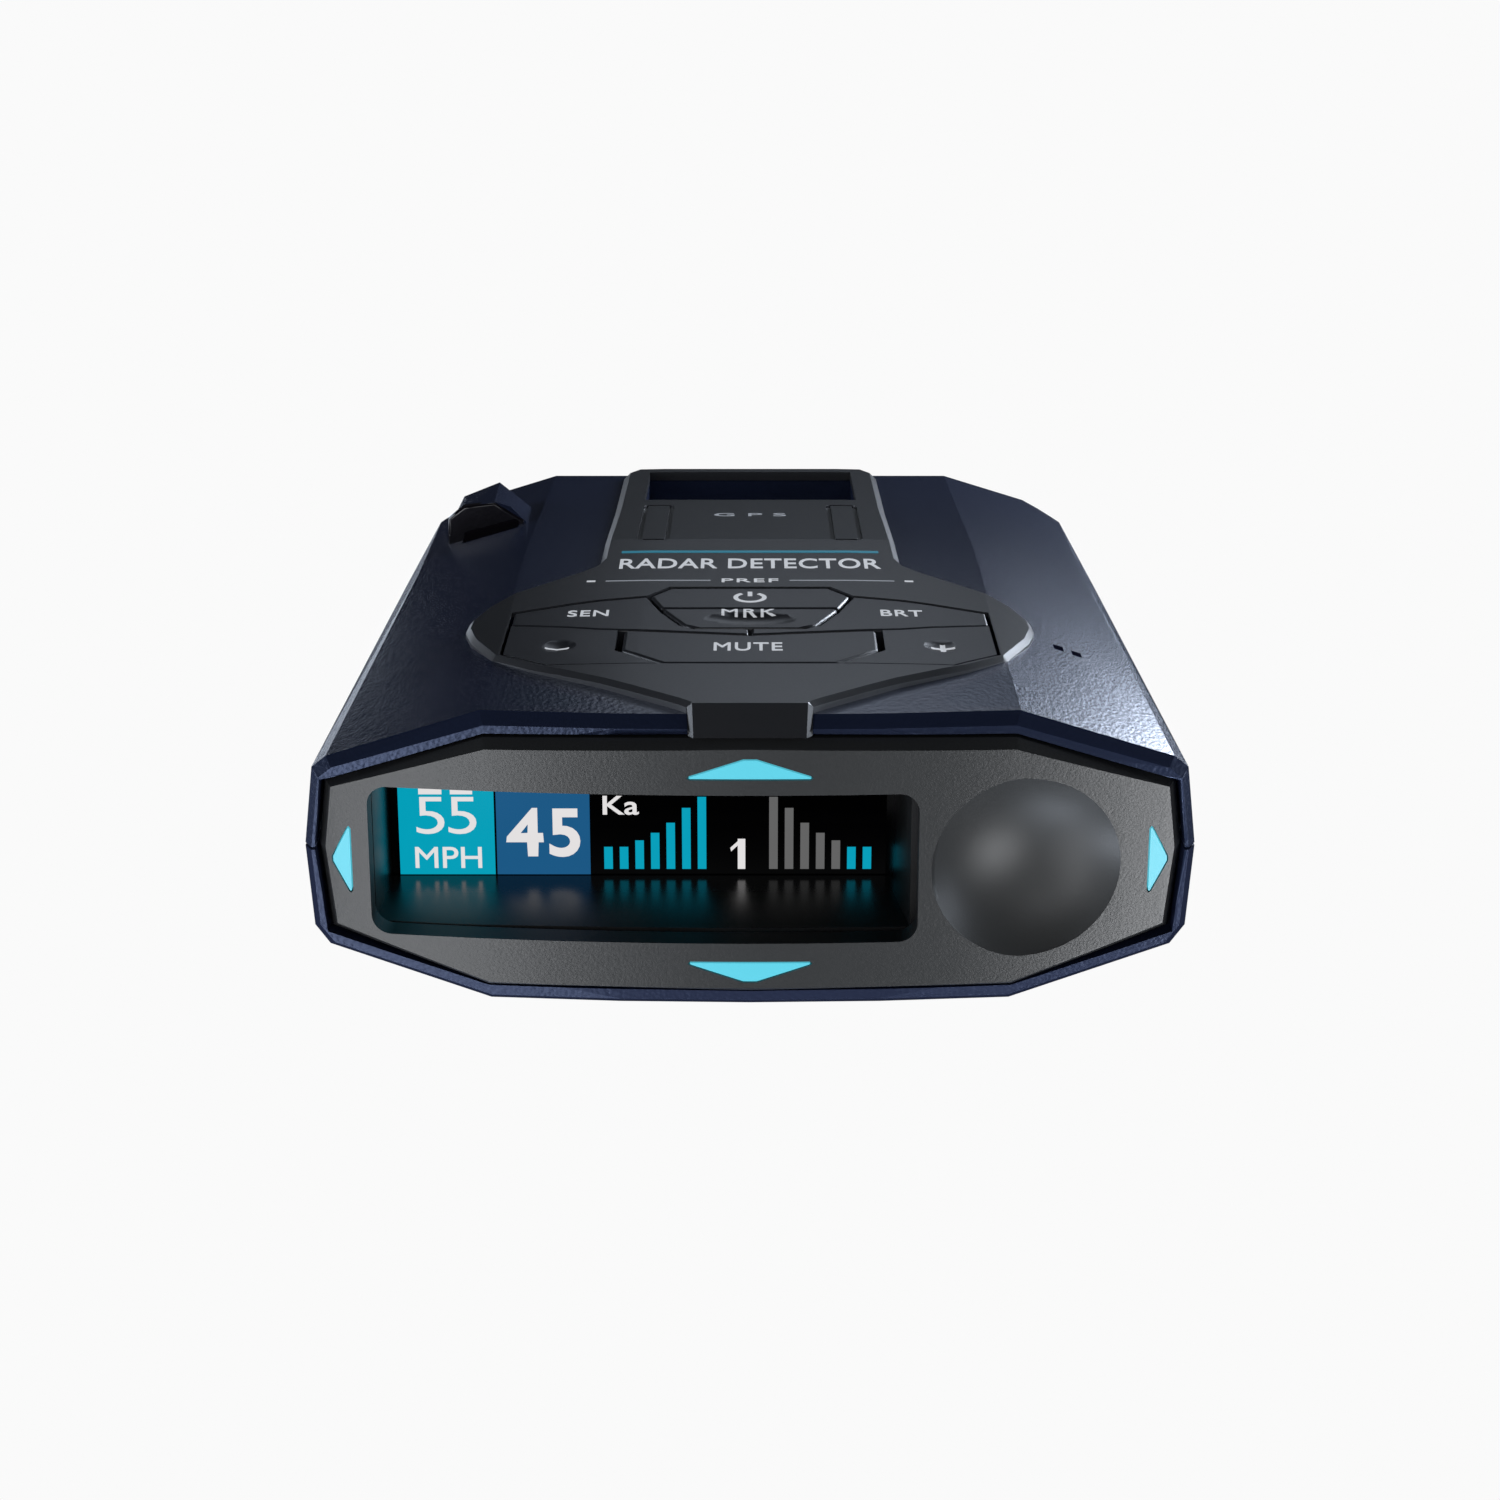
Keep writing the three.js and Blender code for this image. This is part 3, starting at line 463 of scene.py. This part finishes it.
def makeBezel():
    bm = mergedCopy("front_bezel")
    cutDishLip(bm)
    for face in bm.faces:
        face.material_index = bezel["dishSlot"] if inDishRound(face, bezel["dishRadius"]) else 0
    rims = [edge for edge in bm.edges if foldOf(edge) > bezel["rimFold"] and edge.is_convex
            and depthOf(middle(edge)) < bezel["rimDepth"] + bowAt(middle(edge).x / mm)]
    roundEdges(bm, rims, bezel["rim"], 2)
    curveFront(bm)
    for face in bm.faces:
        if isWindowWall(face):
            face.material_index = bezel["wallSlot"]
    piece = finishPiece(bm, "bezel_face", "bezelCharcoal", "case", "bezel_charcoal", bezel["smooth"])
    piece.data.materials.append(materials["tunnelGloss"])
    piece.data.materials.append(materials["dishCharcoal"])
    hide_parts("front_bezel")


def makeArrow(side):
    bm = mergedCopy(f"arrow_light_{side}")
    curveFront(bm)
    piece = finishPiece(bm, f"arrow_lamp_{side}", "tealLight", "case", "teal_light", bezel["smooth"])
    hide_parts(f"arrow_light_{side}")


makeBezel()
for side in ("up", "down", "left", "right"):
    makeArrow(side)
print("bezel and arrows made")

keypad = {"spineEdge": 0.9, "wingShare": 0.6, "wingEnd": 55, "spineX": 15, "skirt": 0.35,
          "crisp": 0.1, "crispFold": 22, "outlineFold": 35, "zoneDepth": 33, "rearDepth": 123, "trimSmooth": 28,
          "keyEdge": 0.38, "keySegments": 3, "keyFold": 40, "keyRise": 29.5, "keySmooth": 35}


def isTrimOutline(edge):
    if not edge.is_manifold or not edge.is_convex or foldOf(edge) < keypad["outlineFold"]:
        return False
    tops = [face for face in edge.link_faces if face.normal.z > 0.6]
    walls = [face for face in edge.link_faces if face.normal.z < 0.35]
    if len(tops) != 1 or len(walls) != 1:
        return False
    spot, out = middle(edge), walls[0].normal
    if depthOf(spot) < keypad["wingEnd"]:
        return out.dot(spot - Vector((0, fromFront(keypad["zoneDepth"]), spot.z))) > 0
    return abs(spot.x) > keypad["spineX"] * mm and out.x * spot.x > 0 or depthOf(spot) > keypad["rearDepth"]


def makeTrim():
    bm = mergedCopy("keypad_trim")
    weights = bm.edges.layers.float.new("bevel_weight_edge")
    for edge in bm.edges:
        if isTrimOutline(edge):
            edge[weights] = 1.0 if depthOf(middle(edge)) > keypad["wingEnd"] else keypad["wingShare"]
    for vert in {vert for face in bm.faces if face.normal.z < -0.5 for vert in face.verts}:
        vert.co.z -= keypad["skirt"] * mm
    piece = finishPiece(bm, "keypad_surround", "trimCharcoal", "case", "trim_charcoal", keypad["trimSmooth"], [
        {"width": keypad["spineEdge"], "segments": 1, "clamp": False},
        {"width": keypad["crisp"], "segments": 2, "limit": "ANGLE", "angle": keypad["crispFold"]}])
    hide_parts("keypad_trim")
    return piece


def makeKey(node):
    bm = mergedCopy(node)
    weights = bm.edges.layers.float.new("bevel_weight_edge")
    for edge in bm.edges:
        if foldOf(edge) > keypad["keyFold"] and edge.is_convex and heightOf(middle(edge)) > keypad["keyRise"]:
            edge[weights] = 1.0
    piece = finishPiece(bm, node.replace("button", "key_top"), "keyCharcoal", bodyOf[node], "key_charcoal",
                        keypad["keySmooth"], [{"width": keypad["keyEdge"], "segments": keypad["keySegments"]}])
    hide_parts(node)
    return piece


trimPiece = makeTrim()
keyPieces = {node: makeKey(node) for node in nodes if node.endswith("_button")}
print("keypad made")

lettering = {"depth": 0.01, "curveSteps": 5, "mergeBelow": 0.003}


# Which way a corner moves so that every wall beside it moves out by one.
def wallPush(vert):
    walls = [face.normal for face in vert.link_faces if abs(face.normal.z) < 0.5]
    if not walls:
        return Vector((0, 0, 0))
    outward = sum(walls, Vector((0, 0, 0))).normalized()
    return outward / max(0.5, min(outward.dot(wall) for wall in walls))


# Letters as a solid in the unit cube; weight makes the strokes thicker by moving their walls out.
def textMesh(words, weight, spacing=1.0):
    curve = bpy.data.curves.new("lettering", "FONT")
    curve.body = words
    curve.extrude = lettering["depth"]
    curve.space_character = spacing
    curve.resolution_u = lettering["curveSteps"]
    holder = bpy.data.objects.new("lettering", curve)
    mesh = bpy.data.meshes.new_from_object(holder)
    bpy.data.objects.remove(holder)
    bpy.data.curves.remove(curve)
    bm = bmesh.new()
    bm.from_mesh(mesh)
    bpy.data.meshes.remove(mesh)
    bmesh.ops.remove_doubles(bm, verts=bm.verts, dist=lettering["mergeBelow"])
    bm.normal_update()
    moves = {vert: wallPush(vert) * weight for vert in bm.verts}
    for vert, move in moves.items():
        vert.co += move
    low = Vector([min(v.co[i] for v in bm.verts) for i in range(3)])
    high = Vector([max(v.co[i] for v in bm.verts) for i in range(3)])
    for vert in bm.verts:
        vert.co = Vector([(vert.co[i] - low[i]) / (high[i] - low[i]) for i in range(3)])
    return bm


def sliced(bm, axis, cuts):
    normal = Vector([1.0 if i == axis else 0.0 for i in range(3)])
    for step in range(1, cuts):
        geom = bm.verts[:] + bm.edges[:] + bm.faces[:]
        bmesh.ops.bisect_plane(bm, geom=geom, dist=1e-6, plane_co=normal * (step / cuts), plane_no=normal)
    return bm


def solidBox(low, high):
    bm = bmesh.new()
    centre = (Vector(low) + Vector(high)) / 2
    size = Vector(high) - Vector(low)
    bmesh.ops.create_cube(bm, size=1, matrix=Matrix.Translation(centre) @ Matrix.Diagonal((*size, 1)))
    return bm


display = {"y": 19.95, "base": 7.07, "top": 22.85, "layer": 0.03, "thick": 0.024}
bars = {"width": 0.93, "pitch": 1.69, "base": 7.69, "leftX": -15.8, "rightX": 2.07,
        "heights": (2.54, 2.54, 3.28, 4.15, 5.3, 7.0, 8.26), "litOnRight": 2}


# A mesh in the unit cube is laid into a box on the display, upright and facing the driver.
def onDisplay(bm, x0, x1, z0, z1, layer):
    for vert in bm.verts:
        u, v, w = vert.co
        depth = display["y"] - layer * display["layer"] - w * display["thick"]
        vert.co = ((x0 + u * (x1 - x0)) * mm, fromFront(depth), fromDatum(z0 + v * (z1 - z0)))
    bmesh.ops.recalc_face_normals(bm, faces=bm.faces)


def unitBlock():
    return solidBox((0, 0, 0), (1, 1, 1))


# A plain figure one: a stem with a slanted flag.
def figureOne():
    bm = solidBox((0.5, 0, 0), (1, 1, 1))
    turn = Matrix.Translation((0.36, 0.79, 0.5)) @ Matrix.Rotation(math.radians(24), 4, "Z")
    bmesh.ops.create_cube(bm, size=1, matrix=turn @ Matrix.Diagonal((0.72, 0.13, 1, 1)))
    return bm


# The power sign: most of a ring, open at the top, with a stroke in the gap.
def powerSign():
    ring = {"inner": 0.36, "outer": 0.5, "gap": 70, "steps": 28, "strokeWidth": 0.14, "strokeLength": 0.42,
            "strokeY": 0.33}
    bm = bmesh.new()
    corners = [(ring["inner"], 0), (ring["outer"], 0), (ring["outer"], 1), (ring["inner"], 1)]
    turn = Matrix.Rotation(math.radians(90 + ring["gap"] / 2), 3, "Z")
    verts = [bm.verts.new(turn @ Vector((r, 0, z))) for r, z in corners]
    face = bm.faces.new(verts)
    bmesh.ops.spin(bm, geom=[face, *face.edges, *verts], cent=(0, 0, 0), axis=(0, 0, 1),
                   angle=math.radians(360 - ring["gap"]), steps=ring["steps"], use_duplicate=False)
    place = Matrix.Translation((0, ring["strokeY"], 0.5))
    size = Matrix.Diagonal((ring["strokeWidth"], ring["strokeLength"], 1, 1))
    bmesh.ops.create_cube(bm, size=1, matrix=place @ size)
    bmesh.ops.translate(bm, verts=bm.verts, vec=(0.5, 0.5, 0))
    return bm


def makeDisplay():
    items = [
        ("tile_speed_limit", unitBlock(), -37.94, -27.62, display["base"], display["top"], 0, "tileTeal"),
        ("tile_speed", unitBlock(), -27.40, -17.30, display["base"], display["top"], 0, "tileBlue"),
        ("digits_speed_limit", textMesh("55", -0.004, 0.86), -36.03, -29.53, 11.72, 15.95, 1, "textGlow"),
        ("digits_unit", textMesh("MPH", 0.006, 1.0), -36.28, -29.05, 7.81, 10.23, 1, "textGlow"),
        ("digits_speed", textMesh("45", 0.022, 1.1), -26.37, -18.35, 9.08, 14.70, 1, "textGlow"),
        ("letters_band", textMesh("Ka", 0.014), -15.89, -11.98, 13.90, 16.07, 0, "textGlow"),
        ("digit_count", figureOne(), -2.14, -0.51, 7.69, 11.15, 0, "textGlow"),
        ("tile_mark_1", unitBlock(), -35.7, -33.2, 16.25, 17.4, 1, "textGlow"),
        ("tile_mark_2", unitBlock(), -32.3, -29.9, 16.25, 17.4, 1, "textGlow"),
    ]
    for i, height in enumerate(bars["heights"]):
        left = bars["leftX"] + i * bars["pitch"]
        right = bars["rightX"] + (len(bars["heights"]) - 1 - i) * bars["pitch"]
        rightFinish = "barCyan" if i < bars["litOnRight"] else "barGrey"
        z = (bars["base"], bars["base"] + height)
        items.append((f"bar_left_{i + 1}", unitBlock(), left, left + bars["width"], *z, 0, "barCyan"))
        items.append((f"bar_right_{i + 1}", unitBlock(), right, right + bars["width"], *z, 0, rightFinish))
    for name, bm, x0, x1, z0, z1, layer, finish in items:
        onDisplay(bm, x0, x1, z0, z1, layer)
        finishPiece(bm, f"display_{name}", finish, "case", "display_cell")


makeDisplay()
print("display made")

printed = {"rayFrom": 50, "noHit": 31, "half": 0.03}


def surfaceOf(piece):
    bm = bmesh.new()
    bm.from_mesh(piece.data)
    tree = BVHTree.FromBMesh(bm)
    bm.free()

    def heightAt(x, y):
        hit = tree.ray_cast(Vector((x, y, fromDatum(printed["rayFrom"]))), Vector((0, 0, -1)))[0]
        return hit.z if hit else fromDatum(printed["noHit"])
    return heightAt


# A mesh in the unit cube is laid on top of a piece as a thin print.
def printOn(bm, name, piece, x0, x1, y0, y1, finish, body="case", slotName="trim_charcoal"):
    heightAt = surfaceOf(piece)
    for vert in bm.verts:
        u, v, w = vert.co
        x, y = (x0 + u * (x1 - x0)) * mm, fromFront(y0 + v * (y1 - y0))
        vert.co = (x, y, heightAt(x, y) + math.copysign(printed["half"], w - 0.5) * mm)
    bmesh.ops.recalc_face_normals(bm, faces=bm.faces)
    finishPiece(bm, name, finish, body, slotName)


# The legends are print, but their finishes glow, so their brightness is painted light.
def makeLegends():
    def onTrim(name, bm, x0, x1, y0, y1, finish="legendWhitePaintedGlow"):
        printOn(sliced(bm, 0, 8), f"legend_{name}", trimPiece, x0, x1, y0, y1, finish)

    onTrim("pref", textMesh("PREF", 0.01, 1.15), -3.3, 3.3, 50.5, 52.1)
    for side in (-1, 1):
        name = "left" if side < 0 else "right"
        onTrim(f"pref_line_{name}", unitBlock(), *sorted((side * 4.6, side * 16.8)), 51.15, 51.45, "legendGreyPaintedGlow")
        onTrim(f"pref_dot_{name}", unitBlock(), *sorted((side * 18.0, side * 19.0)), 51.0, 51.6)
    onTrim("title", textMesh("RADAR DETECTOR", 0.012, 1.05), -15.5, 15.5, 56.8, 61.4)
    onTrim("title_bar", unitBlock(), -15.5, 15.5, 64.2, 65.2, "legendTealPaintedGlow")
    onTrim("gps", textMesh("GPS", 0.004, 1.6), -4.6, 4.6, 86.6, 88.7, "legendGreyPaintedGlow")
    onKeys = [
        (textMesh("SEN", 0.012, 1.1), "sensitivity_button", -20.4, -15.8, 36.4, 38.9),
        (textMesh("BRT", 0.012, 1.1), "brightness_button", 14.6, 19.3, 36.4, 38.9),
        (textMesh("MUTE", 0.012, 1.1), "mute_button", -3.9, 3.5, 22.5, 25.6),
        (textMesh("MRK", 0.012, 1.2), "mark_button", -3.2, 2.9, 37.0, 39.0),
        (textMesh("+", 0.015), "volume_up_button", 19.5, 22.1, 23.9, 26.3),
        (unitBlock(), "volume_down_button", -22.1, -19.5, 24.85, 25.25),
        (powerSign(), "power_button", -1.9, 1.9, 41.8, 46.2),
    ]
    for bm, node, x0, x1, y0, y1 in onKeys:
        printOn(sliced(sliced(bm, 0, 6), 1, 5), f"legend_{node}", keyPieces[node], x0, x1, y0, y1, "legendWhitePaintedGlow",
                bodyOf[node], "key_charcoal")


makeLegends()
print("legends made")

# The floor and dome are in metres, and the rest in millimetres.
stage = {"size": 7.9, "domeRadius": 4.0, "pale": (0.956, 0.956, 0.956), "drop": 0.2, "aimHeight": 15}


# Floor and dome glow evenly, and only the camera sees them, so they add no light of their own.
def makeStage(name, bm, material):
    mesh = bpy.data.meshes.new(name)
    bm.to_mesh(mesh)
    bm.free()
    mesh.materials.append(material)
    piece = bpy.data.objects.new(name, mesh)
    bpy.context.scene.collection.objects.link(piece)
    piece.location.z = -stage["drop"] * mm
    piece.visible_diffuse = False
    piece.visible_glossy = False
    piece.visible_shadow = False


def makeBackground():
    material = newMaterial("palePaper", {
        "Base Color": (0, 0, 0, 1), "Specular IOR Level": 0.0, "Roughness": 1.0,
        "Emission Color": rgba(stage["pale"]), "Emission Strength": 1.0})[0]
    floor = bmesh.new()
    bmesh.ops.create_grid(floor, x_segments=1, y_segments=1, size=stage["size"] / 2)
    makeStage("floor", floor, material)
    dome = bmesh.new()
    bmesh.ops.create_icosphere(dome, subdivisions=4, radius=stage["domeRadius"])
    bmesh.ops.reverse_faces(dome, faces=dome.faces)
    makeStage("dome", dome, material)


# Azimuth 0 is the driver's side, 90 the right, 180 behind. Distances and sizes are in metres, and power in watts.
# The low lights shine up through the floor, which casts no shadow.
def makeLight(name, azimuth, elevation, distance, width, height, power, colour):
    around, up = math.radians(azimuth), math.radians(elevation)
    back = Vector((math.sin(around) * math.cos(up), -math.cos(around) * math.cos(up), math.sin(up)))
    data = bpy.data.lights.new(name, "AREA")
    data.shape = "RECTANGLE"
    data.size = width
    data.size_y = height
    data.energy = power
    data.color = colour
    lamp = bpy.data.objects.new(name, data)
    lamp.location = back * distance + Vector((0, 0, stage["aimHeight"] * mm))
    lamp.rotation_mode = "QUATERNION"
    lamp.rotation_quaternion = (-back).to_track_quat("-Z", "Y")
    lamp.visible_camera = False
    bpy.context.scene.collection.objects.link(lamp)


coolWhite = (0.80, 0.88, 1.0)
softWhite = (0.95, 0.97, 1.0)
lamps = [
    ("softbox_rear_right", 137, 23, 0.26, 0.08, 0.08, 0.42, coolWhite),
    ("softbox_rear_corner", 142, 24, 0.32, 0.08, 0.12, 0.27, coolWhite),
    ("softbox_rear_low", 154, 19, 0.32, 0.08, 0.08, 0.006, coolWhite),
    ("softbox_behind", 176, 34, 0.30, 0.10, 0.08, 0.034, coolWhite),
    ("softbox_front", 0, 22, 1.0, 0.50, 0.30, 1.1, softWhite),
    ("softbox_tall_left", -24, -12, 0.8, 0.22, 0.90, 3.1, softWhite),
    ("softbox_low_right", 36, -22, 0.8, 0.26, 0.40, 3.4, softWhite),
    ("softbox_below", -8, -62, 0.8, 0.40, 0.30, 2.2, coolWhite),
    ("softbox_under_left", -60, -35, 1.0, 0.25, 0.20, 4.5, coolWhite),
    ("softbox_left", -95, 8, 1.0, 0.70, 0.50, 7.0, coolWhite),
    ("softbox_right", 95, 8, 1.0, 0.70, 0.50, 7.0, coolWhite),
    ("rim_rear_left", -156, 0, 1.0, 0.30, 0.10, 0.25, coolWhite),
]
makeBackground()
for lamp in lamps:
    makeLight(*lamp)

air = {"colour": (0.9, 0.93, 1.0), "strength": 0.012}
world = bpy.data.worlds.new("studio")
bpy.context.scene.world = world
world.use_nodes = True
backdrop = next(n for n in world.node_tree.nodes if n.type == "BACKGROUND")
backdrop.inputs["Color"].default_value = rgba(air["colour"])
backdrop.inputs["Strength"].default_value = air["strength"]

view = {"back": 338.1, "height": 115.56, "pitch": 72.0, "lens": 68.4, "sensor": 36.0, "nearest": 10}
cameraData = bpy.data.cameras.new("camera")
cameraData.lens = view["lens"]
cameraData.sensor_width = view["sensor"]
cameraData.clip_start = view["nearest"] * mm
camera = bpy.data.objects.new("camera", cameraData)
camera.location = (0, -view["back"] * mm, fromDatum(view["height"]))
camera.rotation_euler = (math.radians(view["pitch"]), 0, 0)
bpy.context.scene.collection.objects.link(camera)
bpy.context.scene.camera = camera
bpy.context.scene.view_settings.view_transform = "Standard"
print("stage, light and camera set")
